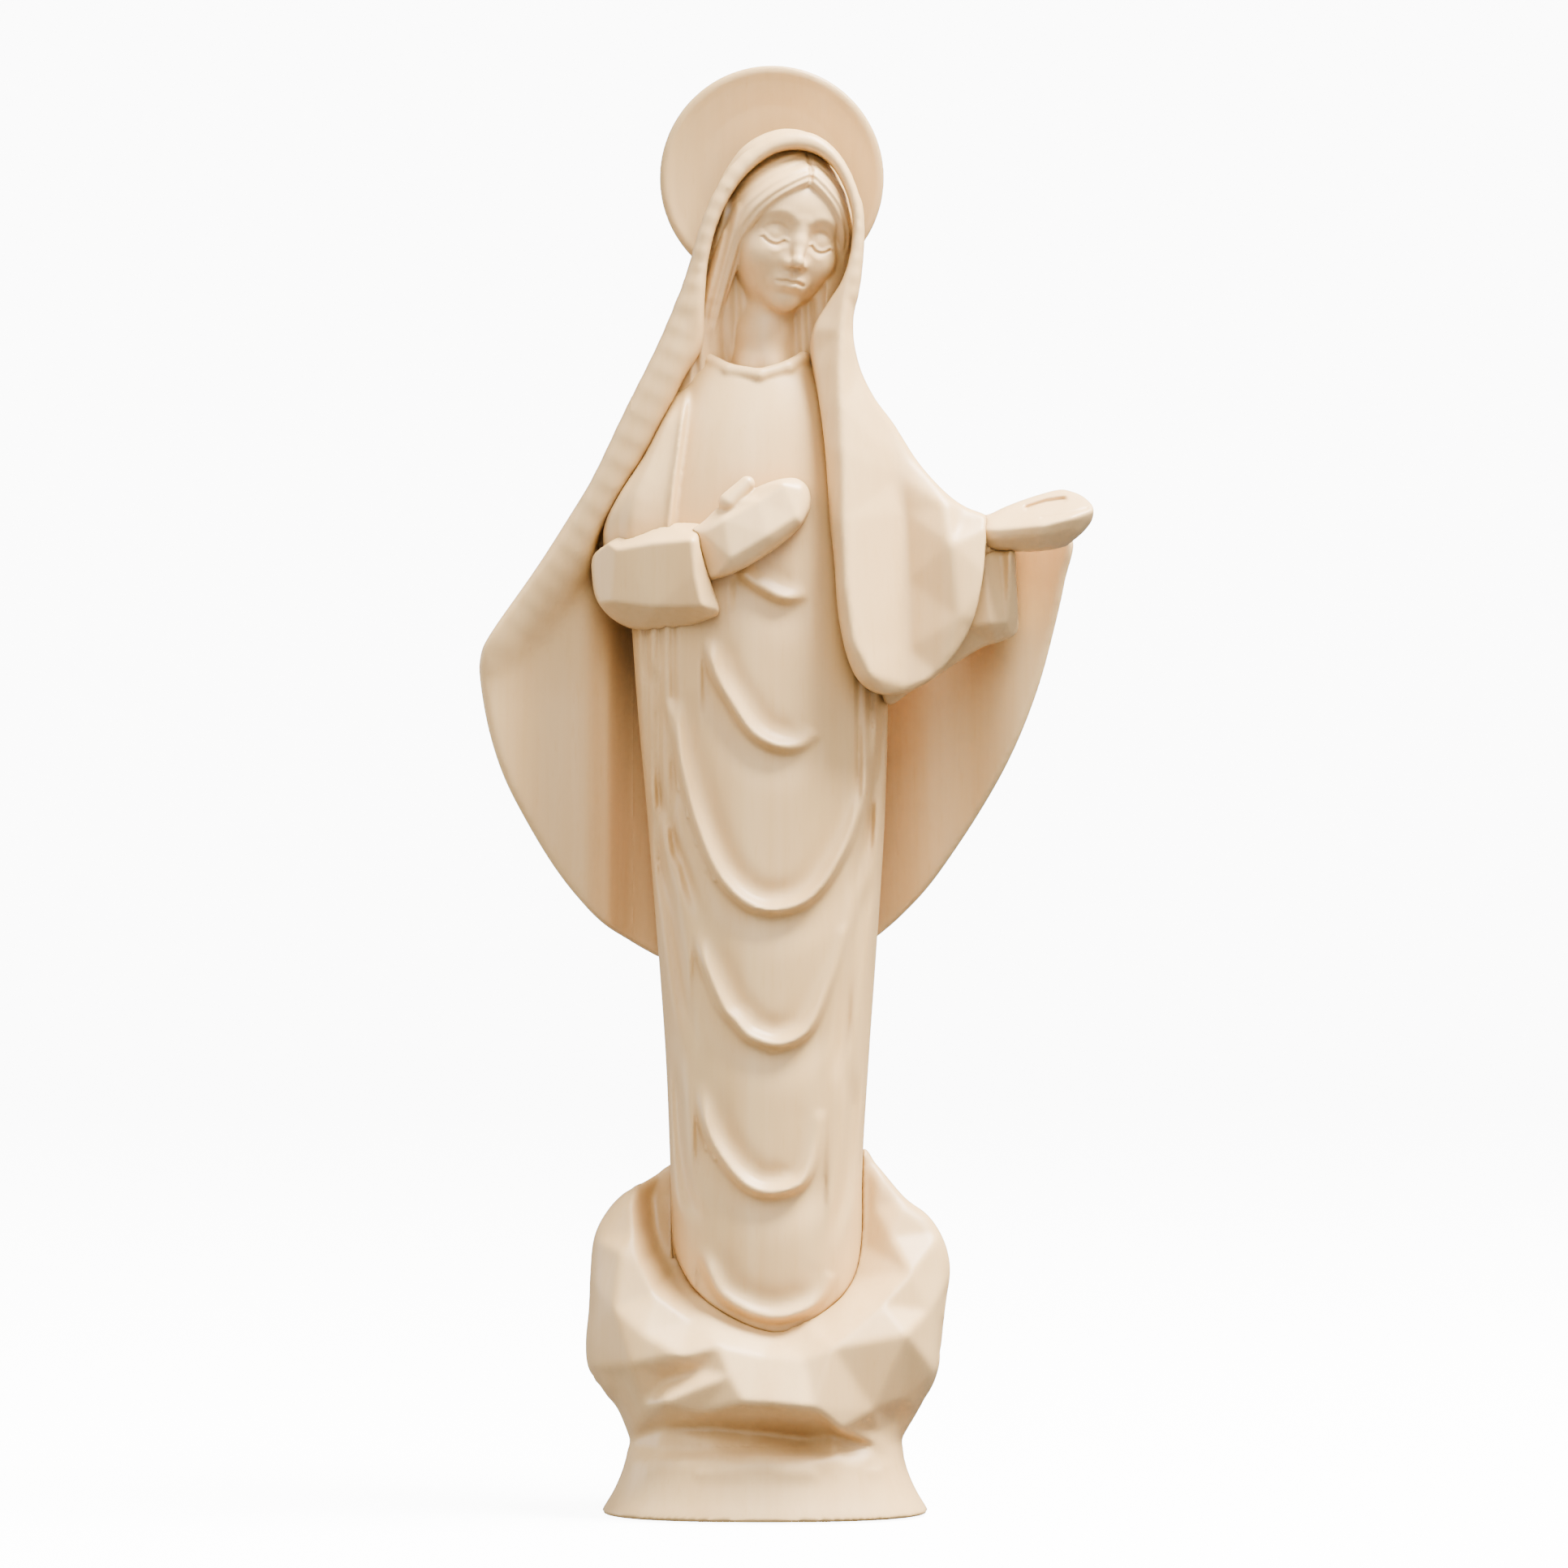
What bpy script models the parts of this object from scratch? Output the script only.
"""A standing veiled figure carved in maple, with a halo, on a cloud and a flared plinth.

The figure is built the way a carver glues up a wide blank: a core block for the tunic, side boards
for the spreading mantle, and separate blocks for the head, the forearms, the hands, the halo, the
cloud and the plinth, held by glue and wooden dowels. Nothing on it moves.

All sizes below are millimetres; MM turns them into metres when a mesh is made.
+X is the figure's left hand side, -Y is the way it faces and +Z is up. The origin is the middle of
the plinth's underside.
"""

import math

import bmesh
import bpy
import numpy as np
from mathutils import Matrix, Vector

MM = 0.001
GLUE_GAP = 0.35  # room between two glued pieces
CARVED_GAP = 0.6  # room cut for a neighbour whose seat is smoothed afterwards
DOWEL_ROOM = 0.15  # room round a dowel in its bore

# ---------------------------------------------------------------- driving dimensions
TOTAL_HEIGHT = 300.0
PLINTH_HEIGHT = 14.6
PLINTH_FOOT = (33.9, 25.0)  # half width and half depth of the oval foot
PLINTH_WAIST = (28.2, 21.0)
CLOUD_BOTTOM = PLINTH_HEIGHT + GLUE_GAP
HALO_RADIUS = 23.4
HALO_CENTRE = (1.4, 16.6, TOTAL_HEIGHT - HALO_RADIUS)
HALO_LEAN = math.radians(4)  # its top leans forward over the hood
HEAD_CENTRE = (4.1, -1.0, 263.0)
HEAD_TURN = math.radians(16)  # towards the open hand
HEAD_TILT = math.radians(9.5)
HEAD_BOW = math.radians(8)
BOARD_JOINT_X = 27.5  # the glue lines between the core block and the two side boards
HEM_Z = 107.0  # the lowest point of the mantle, behind the tunic
PLINTH_DOWEL_X = 14.0
FIGURE_DOWEL_X = 7.5

# (height, centre x, half width, half depth) of the tunic, from its seat in the cloud to the neck
TUNIC = (
    (36, 0.8, 17.8, 15.5),
    (50, 0.6, 19.2, 16.6),
    (70, 0.3, 19.8, 17.0),
    (94, 0.5, 21.0, 17.4),
    (114, 0.5, 22.4, 17.8),
    (145, 0.2, 24.6, 18.2),
    (170, -0.6, 26.0, 18.2),
    (190, -1.5, 26.6, 17.8),
    (205, -3.0, 26.6, 17.2),
    (217, -3.4, 23.2, 16.2),
    (227, -2.6, 19.0, 14.0),
    (234, -1.0, 13.0, 11.0),
    (238.5, -0.6, 9.0, 8.8),
)

# (height, left edge, right edge) of the cape below the arms
CAPE_EDGES = (
    (HEM_Z, -5, 9),
    (109, -12, 13),
    (113.8, -21.9, 18.5),
    (120.2, -32.3, 25.4),
    (126, -38.1, 31.3),
    (133.6, -44.0, 37.6),
    (143.6, -49.9, 44.1),
    (152, -54.1, 49.0),
    (160.4, -56.9, 53.0),
    (172, -59.3, 57.4),
    (176, -59.0, 58.5),
    (183, -55.2, 60.0),
    (190, -50.5, 61.5),
    (199, -44.5, 62.5),
    (203, -41.5, 59.0),
)

# (x, inner face y, outer face y) of the cape in plan
CAPE_PLAN = (
    (-61, -0.5, 4.0),
    (-50, 1.0, 6.8),
    (-40, 2.8, 10.5),
    (-34.5, 4.6, 14.0),
    (-30, 10.0, 17.5),
    (-24, 15.5, 21.0),
    (-12, 17.5, 24.2),
    (0, 17.8, 25.0),
    (14, 17.4, 24.2),
    (24, 15.8, 21.5),
    (33, 12.6, 18.0),
    (42, 8.6, 13.8),
    (51, 4.4, 9.4),
    (63, -1.0, 4.0),
)

# (height, left x, right x, front y, back y) of the shoulders and the hood
SHOULDERS_AND_HOOD = (
    (198, -42, 38, -6, 24.2),
    (205, -38.5, 35, -7.5, 24),
    (215, -34.6, 31, -9, 23.2),
    (225, -30.0, 26, -10, 22),
    (236, -24.6, 19.2, -11, 20),
    (245, -20.8, 18.2, -11.5, 18.4),
    (252, -18.0, 19.6, -11.8, 18.0),
    (259, -15.8, 20.5, -12, 17.8),
    (266, -13.2, 20.4, -11.5, 17.4),
    (272, -10.9, 19.2, -10.5, 16.8),
    (278, -7.8, 16.4, -8.8, 15.4),
    (282.5, -3.6, 12.2, -6, 11.5),
    (285.2, 1.0, 7.2, -1.5, 6.5),
)

# the front opening of the veil, (x, z), clockwise from the crown
VEIL_OPENING = (
    (6.6, 279.1),
    (12.4, 277.2),
    (17.0, 270.4),
    (18.4, 261.2),
    (15.1, 251.9),
    (12.0, 246.0),
    (14.0, 238.0),
    (16.0, 225.0),
    (16.5, 205.0),
    (17.5, 185.0),
    (-20.0, 185.0),
    (-32.0, 195.0),
    (-33.9, 200.6),
    (-30.6, 207.3),
    (-23.7, 218.9),
    (-20.2, 227.4),
    (-16.8, 234.5),
    (-13.0, 240.2),
    (-11.8, 247.7),
    (-11.6, 259.3),
    (-7.1, 268.1),
    (-3.4, 273.1),
    (1.2, 277.2),
)

# (height, left x, right x) and the front face of the drape over the left forearm
DRAPE_EDGES = (
    (168.9, 26.0, 30.0),
    (170.6, 22.8, 32.4),
    (173.2, 20.8, 35.2),
    (178.5, 18.8, 39.4),
    (184, 17.4, 42.3),
    (191, 16.5, 43.8),
    (198, 16.2, 44.4),
    (204, 16.0, 43.0),
    (209, 15.9, 37.0),
    (217, 15.8, 30.0),
    (225, 15.8, 24.6),
    (232, 16.0, 20.8),
    (239, 16.2, 18.0),
)
DRAPE_FRONT = ((168, -20.5), (185, -21.5), (205, -20.0), (225, -16.0), (240, -11.5))
DRAPE_VALLEY_X = 28.5  # the upright hollow between the edge and the forearm
DRAPE_VALLEY_DEPTH = 4.5
DRAPE_BACK_Y = -4.0

# (centre, radii) of the cloud's billows
BILLOWS = (
    ((0, 0, 24), (29, 21.5, 14)),
    ((-22, -8, 35), (16.0, 17, 18)),
    ((23, -8, 37), (16.0, 17, 18)),
    ((1, -16, 28), (15, 12, 11)),
    ((-24, 6, 50), (12.5, 16, 21)),
    ((25, 6, 52), (13.0, 16, 22)),
    ((0, 15, 46), (25, 14, 26)),
    ((-12, -14, 29), (12, 12, 11)),
    ((14, -14, 29), (12, 12, 12)),
)
CLOUD_CORE = (0, 0, 38)

NECK = (  # (x, y, z, half width, half depth), as for the other swept forms below
    (1.2, -0.2, 252, 6.6, 6.8),
    (-0.4, -0.8, 243, 6.2, 6.4),
    (-0.8, -0.8, 236, 7.0, 6.8),
    (-0.8, -0.8, 228, 5.0, 5.0),
)
HAIR_RIGHT = (
    (-4, -5.5, 273, 3.5, 2.8),
    (-8.2, -4.5, 264, 3.0, 3.8),
    (-8.8, -3.0, 254, 2.6, 3.6),
    (-9.4, -2.8, 245, 2.2, 3.0),
)
HAIR_LEFT = (
    (11, -6.0, 274, 3.5, 2.8),
    (15.6, -3.6, 264, 2.6, 3.4),
    (14.0, -2.4, 254, 2.6, 3.4),
    (10.4, -1.4, 246, 2.2, 3.0),
)
MANTLE_EDGE = (  # the rolled front edge from the right shoulder to the tip of the wing
    (-27, -6, 212, 3, 4),
    (-33.5, -4.6, 203, 3, 4),
    (-45, -1.5, 190.5, 2.6, 3.6),
    (-56, 1.2, 177.5, 2.0, 2.6),
)
COVERED_ARM = (  # the left arm under the mantle, from the neck to the wrist
    (12, 2, 236, 8, 8),
    (22, -1, 221.5, 8.5, 8.5),
    (31, -5, 209.3, 8, 8),
    (40, -8, 202, 6.2, 6.2),
    (45.6, -9.5, 200.9, 4.6, 4.6),
)
RIGHT_PALM = (
    (-17, -20.0, 192.6, 4.0, 2.4),
    (-10, -21.2, 197.0, 5.4, 2.6),
    (-3, -21.6, 201.6, 6.6, 2.6),
    (4, -21.2, 206.0, 5.4, 2.2),
    (7.6, -20.6, 208.4, 3.2, 1.6),
)
RIGHT_THUMB = (
    (-8.6, -20.2, 203.0, 1.6, 1.8),
    (-4.6, -20.4, 208.2, 1.7, 1.7),
    (-1.8, -20.2, 211.6, 1.2, 1.3),
)
LEFT_PALM = (
    (41, -11.5, 201.6, 3.2, 2.6),
    (47.5, -13.2, 202.6, 4.6, 2.2),
    (54, -14.8, 203.4, 5.6, 2.0),
    (61, -16.2, 204.0, 5.2, 1.7),
    (66.0, -17.0, 204.6, 3.2, 1.3),
)
LEFT_THUMB = (
    (49, -11.0, 206.6, 1.7, 1.6),
    (54.5, -11.6, 208.2, 1.7, 1.5),
    (60, -12.6, 209.4, 1.2, 1.2),
)

# (x, y, z, half depth, half height) of the forearm that lies across the chest
RIGHT_SLEEVE = (
    (-34.0, -6.5, 190.0, 4.0, 5.5),
    (-32.5, -9.0, 190.4, 8.0, 9.2),
    (-27.0, -13.5, 191.3, 9.5, 10.4),
    (-19.0, -17.5, 192.0, 9.0, 10.7),
    (-13.0, -20.0, 192.2, 7.6, 10.8),
    (-9.8, -21.0, 192.4, 6.6, 10.5),
)

# (height, left x, right x) of the hanging sleeve of the open hand
LEFT_SLEEVE_EDGES = (
    (167.8, 24.5, 26.5),
    (173, 27, 39.5),
    (178, 30, 48.8),
    (181, 32, 51.2),
    (188, 36, 51.9),
    (196, 38, 51.9),
    (201, 40, 50.6),
)
LEFT_SLEEVE_BACK_Y = 2.0

# (height, how far in from foot to waist, 0 to 1) of the plinth's flare
PLINTH_FLARE = ((0.0, 0.0), (0.9, 0.1), (4.0, 0.42), (8.0, 0.74), (12.0, 0.95), (PLINTH_HEIGHT, 1.0))

# (radius, depth) of the halo: across its hollow front, over the lip and back across
HALO_PROFILE = (
    (8.0, -1.35),
    (15.0, -0.95),
    (20.5, -0.2),
    (22.2, 0.35),
    (HALO_RADIUS - 0.3, 0.1),
    (HALO_RADIUS, -0.7),
    (HALO_RADIUS - 0.5, -1.6),
    (21.0, -2.6),
    (12.0, -4.2),
    (3.0, -4.9),
)
HALO_SEAT = 1.8  # the dish stands this much ahead of its centre

# colour, roughness
WOODS = {
    "maple_plinth": ((0.80, 0.66, 0.50), 0.50),
    "maple_cloud": ((0.82, 0.69, 0.53), 0.48),
    "maple_tunic": ((0.80, 0.66, 0.51), 0.48),
    "maple_veil": ((0.82, 0.68, 0.52), 0.48),
    "maple_skin": ((0.81, 0.68, 0.53), 0.42),
    "maple_halo": ((0.74, 0.58, 0.41), 0.50),
    "beech_dowel": ((0.66, 0.47, 0.30), 0.65),
}


# ---------------------------------------------------------------- helpers
def along(stations, at):
    """Reads a smooth curve through (position, value, ...) stations at the given positions."""
    table = np.array(stations, float)
    knots = table[:, 0]
    values = table[:, 1:]
    slopes = np.gradient(values, knots, axis=0)
    at = np.clip(np.atleast_1d(np.asarray(at, float)), knots[0], knots[-1])
    i = np.clip(np.searchsorted(knots, at) - 1, 0, len(knots) - 2)
    span = (knots[i + 1] - knots[i])[:, None]
    t = ((at - knots[i])[:, None]) / span
    rise = values[i] * (1 + 2 * t) * (1 - t) ** 2 + values[i + 1] * t * t * (3 - 2 * t)
    return rise + span * (slopes[i] * t * (1 - t) ** 2 - slopes[i + 1] * t * t * (1 - t))


def wood(slot):
    if slot in bpy.data.materials:
        return bpy.data.materials[slot]
    colour, roughness = WOODS[slot]
    material = bpy.data.materials.new(slot)
    material.use_nodes = True
    shader = material.node_tree.nodes["Principled BSDF"]
    shader.inputs["Base Color"].default_value = (*colour, 1)
    shader.inputs["Roughness"].default_value = roughness
    shader.inputs["Metallic"].default_value = 0
    return material


def solid(name, points, faces, slot="maple_tunic"):
    """Makes an object from points in millimetres, with its faces turned outwards."""
    mesh = bpy.data.meshes.new(name)
    mesh.from_pydata([tuple(Vector(p) * MM) for p in points], [], faces)
    shape = bmesh.new()
    shape.from_mesh(mesh)
    bmesh.ops.recalc_face_normals(shape, faces=shape.faces)
    shape.to_mesh(mesh)
    shape.free()
    mesh.materials.append(wood(slot))
    mesh.shade_smooth()
    mesh.set_sharp_from_angle(angle=math.radians(40))
    obj = bpy.data.objects.new(name, mesh)
    bpy.context.scene.collection.objects.link(obj)
    return obj


def loft(name, rings, slot="maple_tunic"):
    """Joins closed rings of equal length with quads and caps both ends."""
    count = len(rings[0])
    faces = [tuple(range(count)), tuple(range((len(rings) - 1) * count, len(rings) * count))]
    for row in range(len(rings) - 1):
        for i in range(count):
            j = (i + 1) % count
            a, b = row * count, (row + 1) * count
            faces.append((a + i, a + j, b + j, b + i))
    return solid(name, np.concatenate(rings), faces, slot)


def oval(centre, half_x, half_y, z, count, squareness=2.0):
    turn = np.linspace(0, 2 * math.pi, count, endpoint=False)
    c, s = np.cos(turn), np.sin(turn)
    x = centre[0] + half_x * np.sign(c) * np.abs(c) ** (2 / squareness)
    y = centre[1] + half_y * np.sign(s) * np.abs(s) ** (2 / squareness)
    return np.column_stack([x, y, np.full(count, float(z))])


def slab(name, edges, heights, columns, front, back, slot):
    """A sheet between two edges, with front(x, z) and back(x, z) giving the faces' y."""
    rings = []
    for z in heights:
        left, right = along(edges, z)[0]
        x = np.linspace(left, right, columns)
        y_front, y_back = front(x, z), back(x, z)
        height = np.full(columns, z)
        rings.append(
            np.concatenate(
                [
                    np.column_stack([x, y_front, height]),
                    np.column_stack([x, y_back, height])[::-1],
                ]
            )
        )
    return loft(name, rings, slot)


def tube(name, stations, steps, count, up=(0, 0, 1), slot="maple_tunic", round_ends=True):
    """Sweeps an oval along (x, y, z, half width, half height) stations."""
    table = np.array(stations, float)
    table = along(np.column_stack([np.arange(len(table)), table]), np.linspace(0, len(table) - 1, steps))
    path, radii = table[:, :3], table[:, 3:]
    tangents = np.gradient(path, axis=0)
    tangents /= np.linalg.norm(tangents, axis=1)[:, None]
    if round_ends:
        start, end = [], []
        for angle in (math.radians(80), math.radians(45)):
            reach, shrink = math.sin(angle), math.cos(angle)
            start.append((path[0] - tangents[0] * radii[0].min() * reach, radii[0] * shrink, tangents[0]))
            end.append((path[-1] + tangents[-1] * radii[-1].min() * reach, radii[-1] * shrink, tangents[-1]))
        middle = list(zip(path, radii, tangents))
        sections = start + middle + end[::-1]
    else:
        sections = list(zip(path, radii, tangents))
    turn = np.linspace(0, 2 * math.pi, count, endpoint=False)
    rings = []
    for centre, radius, tangent in sections:
        side = np.cross(tangent, up)
        side /= np.linalg.norm(side)
        top = np.cross(side, tangent)
        ring = centre + np.outer(np.cos(turn) * radius[0], side) + np.outer(np.sin(turn) * radius[1], top)
        rings.append(ring)
    return loft(name, rings, slot)


def ball(name, centre, radii, detail=3, slot="maple_tunic"):
    shape = bmesh.new()
    bmesh.ops.create_icosphere(shape, subdivisions=detail, radius=1)
    points = [Vector(centre) + Vector(radii) * v.co for v in shape.verts]
    faces = [tuple(v.index for v in f.verts) for f in shape.faces]
    shape.free()
    return solid(name, points, faces, slot)


def helper(obj):
    """Marks an object that only cuts or guides."""
    obj.hide_render = True
    obj.display_type = "WIRE"
    return obj


def settle(obj):
    """Turns what an object's modifiers make into its own mesh."""
    bpy.context.view_layer.update()
    graph = bpy.context.evaluated_depsgraph_get()
    made = bpy.data.meshes.new_from_object(obj.evaluated_get(graph))
    obj.modifiers.clear()
    obj.data = made
    return obj


def melt(obj, voxel, triangles):
    """Remakes a form as one closed skin of about so many triangles."""
    remesh = obj.modifiers.new("melt", "REMESH")
    remesh.mode = "VOXEL"
    remesh.voxel_size = voxel * MM
    remesh.use_smooth_shade = True
    smooth = obj.modifiers.new("sand", "SMOOTH")
    smooth.iterations = 2
    settle(obj)
    have = sum(len(face.vertices) - 2 for face in obj.data.polygons)
    decimate = obj.modifiers.new("facets", "DECIMATE")
    decimate.ratio = min(1.0, triangles / have)
    return settle(obj)


def fuse(name, shapes, voxel, triangles, slot):
    """Melts overlapping closed shapes into one carved form."""
    joined = bmesh.new()
    for shape in shapes:
        joined.from_mesh(shape.data)
        bpy.data.objects.remove(shape)
    mesh = bpy.data.meshes.new(name)
    joined.to_mesh(mesh)
    joined.free()
    mesh.materials.append(wood(slot))
    obj = bpy.data.objects.new(name, mesh)
    bpy.context.scene.collection.objects.link(obj)
    return melt(obj, voxel, triangles)


def carve(obj, neighbours, voxel, triangles):
    """Cuts seats for the neighbours into a form and cleans up its skin afterwards."""
    for neighbour in neighbours:
        boolean(obj, room_for(neighbour, CARVED_GAP), "DIFFERENCE")
    return melt(obj, voxel, triangles)


def boolean(obj, other, operation):
    """Cuts or meets obj with a helper, which stays in the scene as a hidden tool."""
    step = obj.modifiers.new(operation.lower(), "BOOLEAN")
    step.operation = operation
    step.solver = "EXACT"
    step.use_self = True
    step.object = other
    return settle(obj)


def keep_biggest(obj):
    """Drops the crumbs that a cut can leave beside the piece itself."""
    shape = bmesh.new()
    shape.from_mesh(obj.data)
    left = set(shape.verts)
    pieces = []
    while left:
        piece, queue = set(), [left.pop()]
        while queue:
            vertex = queue.pop()
            piece.add(vertex)
            near = {edge.other_vert(vertex) for edge in vertex.link_edges} & left
            left -= near
            queue.extend(near)
        pieces.append(piece)
    biggest = max(pieces, key=len)
    crumbs = [vertex for vertex in shape.verts if vertex not in biggest]
    bmesh.ops.delete(shape, geom=crumbs, context="VERTS")
    shape.to_mesh(obj.data)
    shape.free()
    return obj


def room_for(obj, gap=GLUE_GAP):
    """A copy of a piece grown evenly by the gap, to cut its neighbour with."""
    shape = bmesh.new()
    shape.from_mesh(obj.data)
    shape.normal_update()
    for vertex in shape.verts:
        vertex.co += vertex.normal * gap * MM * min(vertex.calc_shell_factor(), 1.8)
    mesh = bpy.data.meshes.new("room_for_" + obj.name)
    shape.to_mesh(mesh)
    shape.free()
    room = bpy.data.objects.new("room_for_" + obj.name, mesh)
    bpy.context.scene.collection.objects.link(room)
    return helper(room)


def prism(name, outline, y_low, y_high):
    """An (x, z) outline pushed from y_low to y_high."""
    rings = [[(x, y, z) for x, z in outline] for y in (y_low, y_high)]
    return helper(loft(name, [np.array(r) for r in rings]))


def block(name, low, high):
    return prism(
        name,
        ((low[0], low[2]), (high[0], low[2]), (high[0], high[2]), (low[0], high[2])),
        low[1],
        high[1],
    )


def dowel(name, start, end, radius, mates):
    """A wooden pin, with a bore made for it in each piece that it joins."""
    start, end = Vector(start), Vector(end)
    direction = (end - start).normalized()
    up = (0, 1, 0) if abs(direction.z) > 0.9 else (0, 0, 1)

    def pin(label, grow):
        a, b = start - direction * grow, end + direction * grow
        stations = [(*a, radius + grow, radius + grow), (*b, radius + grow, radius + grow)]
        return tube(label, stations, 2, 16, up=up, slot="beech_dowel", round_ends=False)

    bore = helper(pin(name + "_bore", DOWEL_ROOM))
    for mate in mates:
        boolean(mate, bore, "DIFFERENCE")
    return pin(name, 0)


def head_place():
    turn = Matrix.Rotation(HEAD_TURN, 4, "Z") @ Matrix.Rotation(HEAD_TILT, 4, "Y")
    return Matrix.Translation(HEAD_CENTRE) @ turn @ Matrix.Rotation(HEAD_BOW, 4, "X")


def place(obj, matrix):
    """Moves a mesh by a matrix given in millimetres."""
    scaled = matrix.copy()
    scaled.translation = matrix.translation * MM
    obj.data.transform(scaled)
    return obj


# ---------------------------------------------------------------- the pieces
def make_plinth():
    rings = []
    for z, inward in PLINTH_FLARE:
        half_x = PLINTH_FOOT[0] + (PLINTH_WAIST[0] - PLINTH_FOOT[0]) * inward
        half_y = PLINTH_FOOT[1] + (PLINTH_WAIST[1] - PLINTH_FOOT[1]) * inward
        rings.append(oval((0, 0), half_x, half_y, z, 48, 2.5))
    return loft("plinth", rings, "maple_plinth")


def make_cloud(tunic):
    """Billows round one core: each direction from the core reaches out to the furthest billow."""
    core = Vector(CLOUD_CORE)
    shape = bmesh.new()
    bmesh.ops.create_icosphere(shape, subdivisions=4, radius=1)
    points = []
    for vertex in shape.verts:
        ray = vertex.co.normalized()
        reach = 8.0
        for centre, radii in BILLOWS:
            to = [(c - o) / r for c, o, r in zip(centre, core, radii)]
            way = [d / r for d, r in zip(ray, radii)]
            a = sum(w * w for w in way)
            b = sum(w * t for w, t in zip(way, to))
            c = sum(t * t for t in to) - 1
            inside = b * b - a * c
            if inside > 0:
                reach = max(reach, (b + math.sqrt(inside)) / a)
        point = core + ray * reach
        points.append((point.x, point.y, max(point.z, CLOUD_BOTTOM - 3)))
    faces = [tuple(v.index for v in f.verts) for f in shape.faces]
    shape.free()
    cloud = solid("cloud_base", points, faces, "maple_cloud")
    shrink = cloud.modifiers.new("facets", "DECIMATE")
    shrink.ratio = 0.36
    settle(cloud)
    boolean(cloud, block("cloud_floor", (-60, -60, 0), (60, 60, CLOUD_BOTTOM)), "DIFFERENCE")
    return boolean(cloud, room_for(tunic), "DIFFERENCE")


def make_tunic():
    stations = np.array([row[0] for row in TUNIC], float)
    heights = np.sort(np.concatenate([stations, (stations[1:] + stations[:-1]) / 2]))
    rings = []
    for z, (x, half_x, half_y) in zip(heights, along(TUNIC, heights)):
        rings.append(oval((x, 0), half_x, half_y, z, 40, 2.2))
    return loft("tunic", rings, "maple_tunic")


def make_head():
    """Face, hair and neck in one block. The neck is the tenon that the tunic takes."""
    skull = ball("skull", (0, 2.2, 2.0), (12.2, 12.6, 14.0))
    face = ball("face", (0, -3.2, -2.0), (9.8, 9.2, 13.0))
    chin = ball("chin", (0, -6.6, -12.2), (3.6, 3.4, 3.2))
    nose = tube("nose", ((0, -11.4, 1.5, 0.9, 0.9), (0, -12.9, -3.6, 1.5, 1.3)), 3, 10, up=(0, 1, 0))
    head = [place(part, head_place()) for part in (skull, face, chin, nose)]
    neck = tube("neck", NECK, 7, 20, up=(0, 1, 0), round_ends=False)
    hair_right = tube("hair_right", HAIR_RIGHT, 8, 12, up=(0, 1, 0))
    hair_left = tube("hair_left", HAIR_LEFT, 8, 12, up=(0, 1, 0))
    return fuse("head", [*head, neck, hair_right, hair_left], 0.8, 1400, "maple_skin")


def make_mantle():
    """The whole mantle before the boards are parted: cape, shoulders, hood and the covered arm."""

    def inner(x, z):
        return along(CAPE_PLAN, x)[:, 0]

    def outer(x, z):
        return along(CAPE_PLAN, x)[:, 1]

    heights = [row[0] for row in CAPE_EDGES]
    cape = slab("cape", CAPE_EDGES, heights, 34, inner, outer, "maple_veil")
    rings = []
    for z, left, right, front, back in SHOULDERS_AND_HOOD:
        centre = ((left + right) / 2, (front + back) / 2)
        rings.append(oval(centre, (right - left) / 2, (back - front) / 2, z, 48, 2.15))
    hood = loft("hood", rings, "maple_veil")
    edge = tube("edge", MANTLE_EDGE, 10, 12)
    arm = tube("arm", COVERED_ARM, 12, 18)
    return fuse("mantle", [cape, hood, edge, arm], 1.2, 4200, "maple_veil")


def part_boards(mantle):
    """Splits the mantle at the two upright glue lines."""
    spans = (
        ("mantle_core", -BOARD_JOINT_X, BOARD_JOINT_X),
        ("mantle_board_right", -90, -BOARD_JOINT_X - GLUE_GAP),
        ("mantle_board_left", BOARD_JOINT_X + GLUE_GAP, 90),
    )
    boards = {}
    for name, low, high in spans:
        board = bpy.data.objects.new(name, mantle.data.copy())
        bpy.context.scene.collection.objects.link(board)
        boolean(board, block(name + "_span", (low, -60, 90), (high, 60, 300)), "INTERSECT")
        boards[name] = keep_biggest(board)
    bpy.data.objects.remove(mantle)
    return boards


def make_drape():
    def front(x, z):
        hollow = DRAPE_VALLEY_DEPTH * np.exp(-(((x - DRAPE_VALLEY_X) / 6.5) ** 2))
        return along(DRAPE_FRONT, z)[0, 0] + hollow - 0.12 * np.clip(x - DRAPE_VALLEY_X, 0, 20)

    def back(x, z):
        return np.full(len(x), DRAPE_BACK_Y)

    heights = [row[0] for row in DRAPE_EDGES]
    return slab("forearm_drape", DRAPE_EDGES, heights, 14, front, back, "maple_veil")


def make_right_sleeve():
    rings = []
    for x, y, z, half_y, half_z in RIGHT_SLEEVE:
        flat = oval((y, z), half_y, half_z, 0, 28, 3.0)
        rings.append(np.column_stack([np.full(len(flat), x), flat[:, 0], flat[:, 1]]))
    return loft("right_sleeve", rings, "maple_tunic")


def make_left_sleeve():
    def front(x, z):
        return -13.5 - 0.12 * (x - 25)

    def back(x, z):
        return np.full(len(x), LEFT_SLEEVE_BACK_Y)

    heights = [row[0] for row in LEFT_SLEEVE_EDGES]
    return slab("left_sleeve", LEFT_SLEEVE_EDGES, heights, 8, front, back, "maple_tunic")


def make_right_hand():
    palm = tube("palm", RIGHT_PALM, 10, 16, up=(0, -1, 0))
    thumb = tube("thumb", RIGHT_THUMB, 6, 12, up=(0, -1, 0))
    return fuse("right_hand", [palm, thumb], 0.5, 600, "maple_skin")


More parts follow.
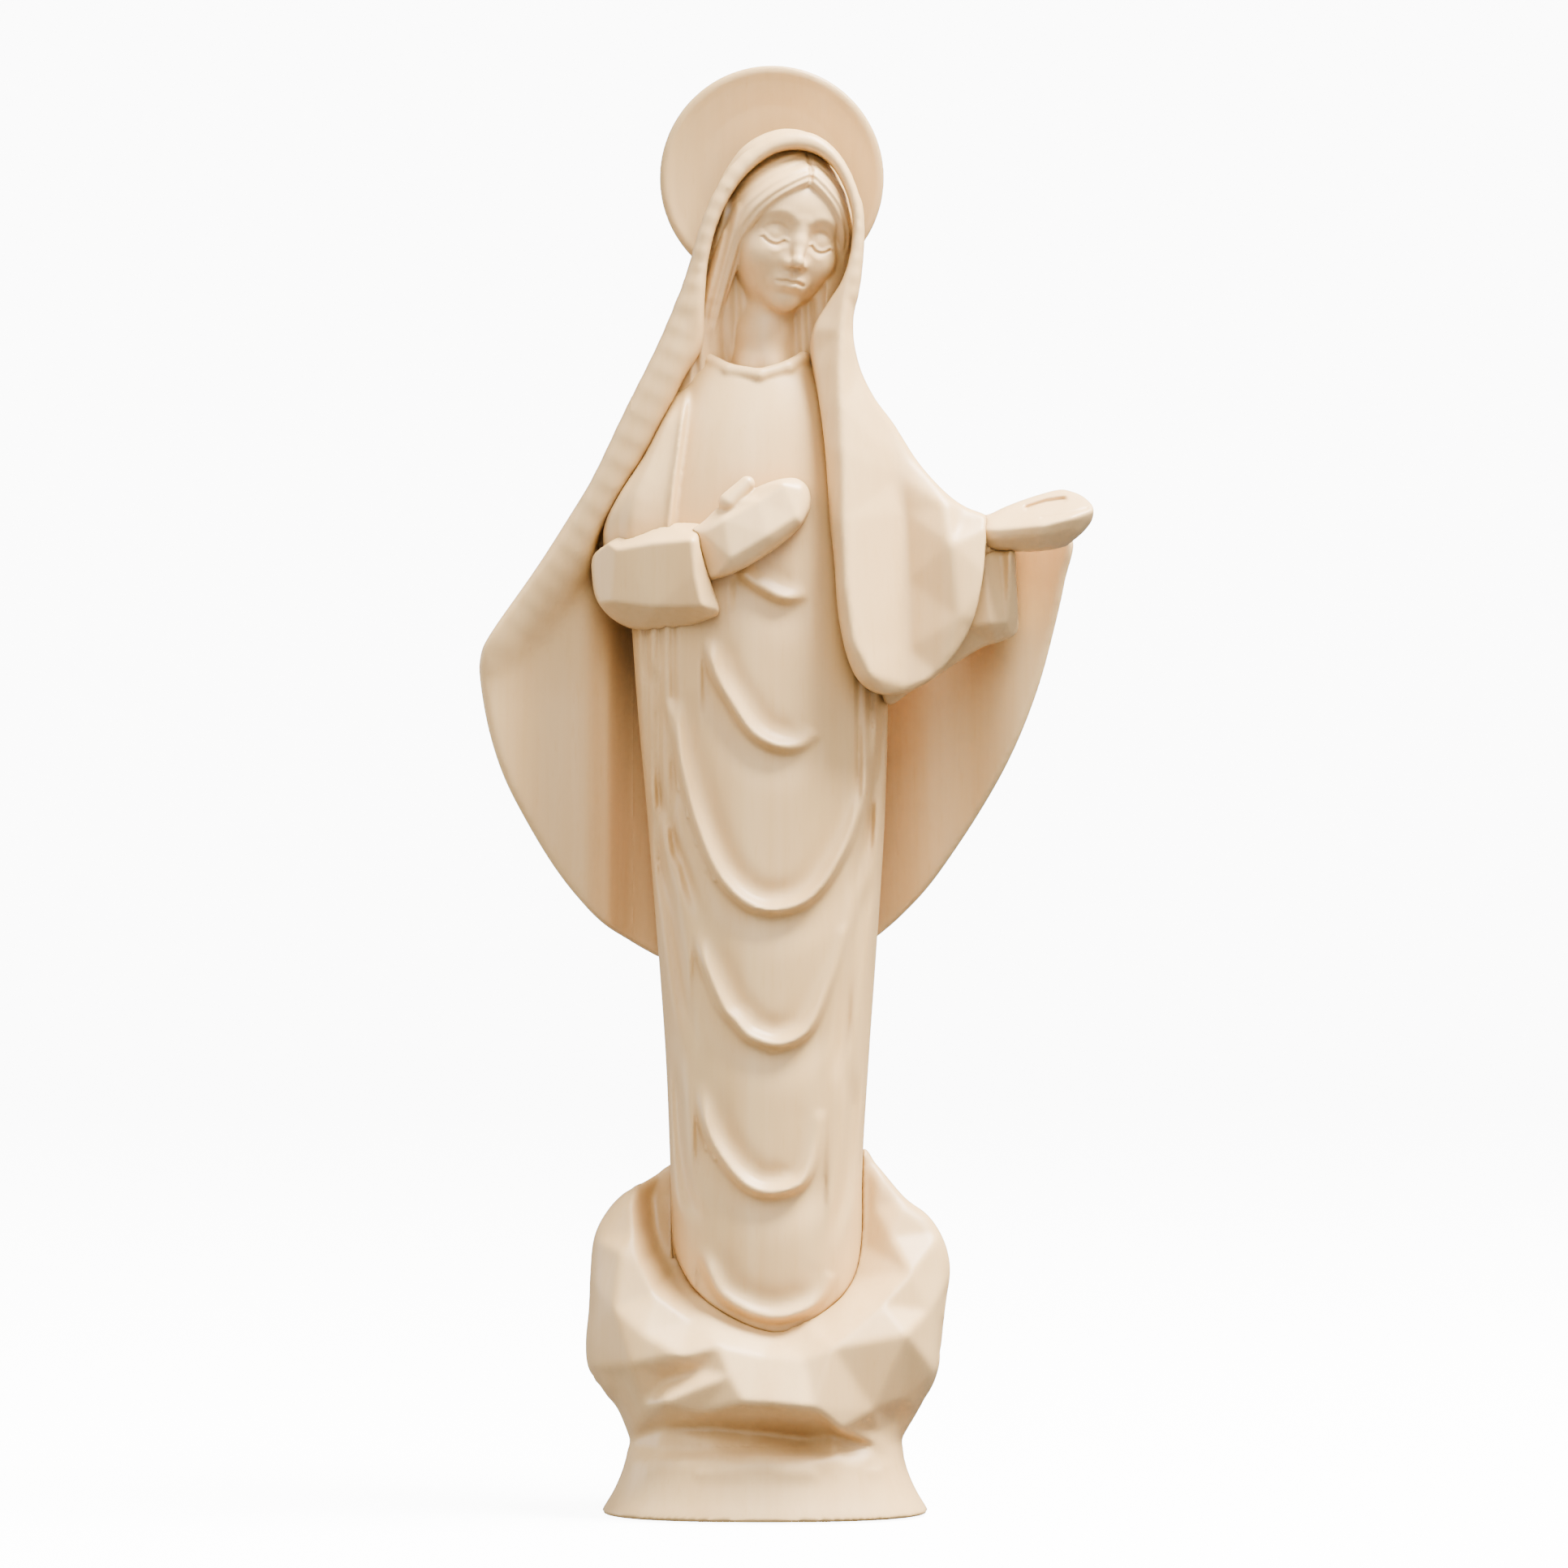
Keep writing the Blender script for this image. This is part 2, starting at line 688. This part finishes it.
def make_left_hand():
    upward = (-0.1, -0.62, 0.78)
    palm = tube("palm", LEFT_PALM, 10, 16, up=upward)
    thumb = tube("thumb", LEFT_THUMB, 6, 12, up=upward)
    return fuse("left_hand", [palm, thumb], 0.5, 700, "maple_skin")


def make_halo():
    """A turned dish with a rounded lip, its hollow side to the front."""
    rings = []
    for radius, depth in HALO_PROFILE:
        ring = oval((0, 0), radius, radius, -depth - HALO_SEAT, 32)
        rings.append(ring[:, (0, 2, 1)])
    halo = loft("halo", rings, "maple_halo")
    lean = Matrix.Translation(HALO_CENTRE) @ Matrix.Rotation(HALO_LEAN, 4, "X")
    return place(halo, lean)


def make_dowels(plinth, cloud, tunic, right_sleeve, head, mantle_core, halo):
    """The pins that hold the blocks together, all hidden once it is glued up."""
    for side, sign in (("left", 1), ("right", -1)):
        x = PLINTH_DOWEL_X * sign
        dowel("plinth_dowel_" + side, (x, 0, 5), (x, 0, 21), 3.0, (plinth, cloud))
        x = FIGURE_DOWEL_X * sign
        dowel("figure_dowel_" + side, (x, 0, 25), (x, 0, 50), 3.0, (cloud, tunic))
    dowel("sleeve_dowel", (-21.5, -17.0, 191.5), (-19.5, -5.0, 191.5), 2.0, (right_sleeve, tunic))
    dowel("halo_dowel", (2.4, 6.0, 270.0), (2.4, 18.2, 270.0), 1.5, (head, mantle_core, halo))


def build():
    for obj in list(bpy.data.objects):
        bpy.data.objects.remove(obj)
    tunic = make_tunic()
    head = make_head()
    plinth = make_plinth()
    halo = make_halo()
    cloud = make_cloud(tunic)
    right_sleeve = make_right_sleeve()
    right_hand = make_right_hand()
    left_sleeve = make_left_sleeve()
    left_hand = make_left_hand()
    drape = make_drape()
    mantle = make_mantle()

    boolean(mantle, prism("veil_opening", VEIL_OPENING, -60, 3.0), "DIFFERENCE")
    carve(mantle, (tunic, head, halo, left_hand), 1.2, 3200)
    tunic_room = room_for(tunic)
    carve(left_sleeve, (mantle, tunic, left_hand), 0.9, 300)
    carve(drape, (tunic, mantle, left_sleeve, left_hand), 0.9, 700)
    carve(right_sleeve, (tunic, right_hand, mantle), 0.9, 400)
    boolean(right_hand, tunic_room, "DIFFERENCE")
    boolean(tunic, room_for(head), "DIFFERENCE")
    core = part_boards(mantle)["mantle_core"]
    make_dowels(plinth, cloud, tunic, right_sleeve, head, core, halo)


build()
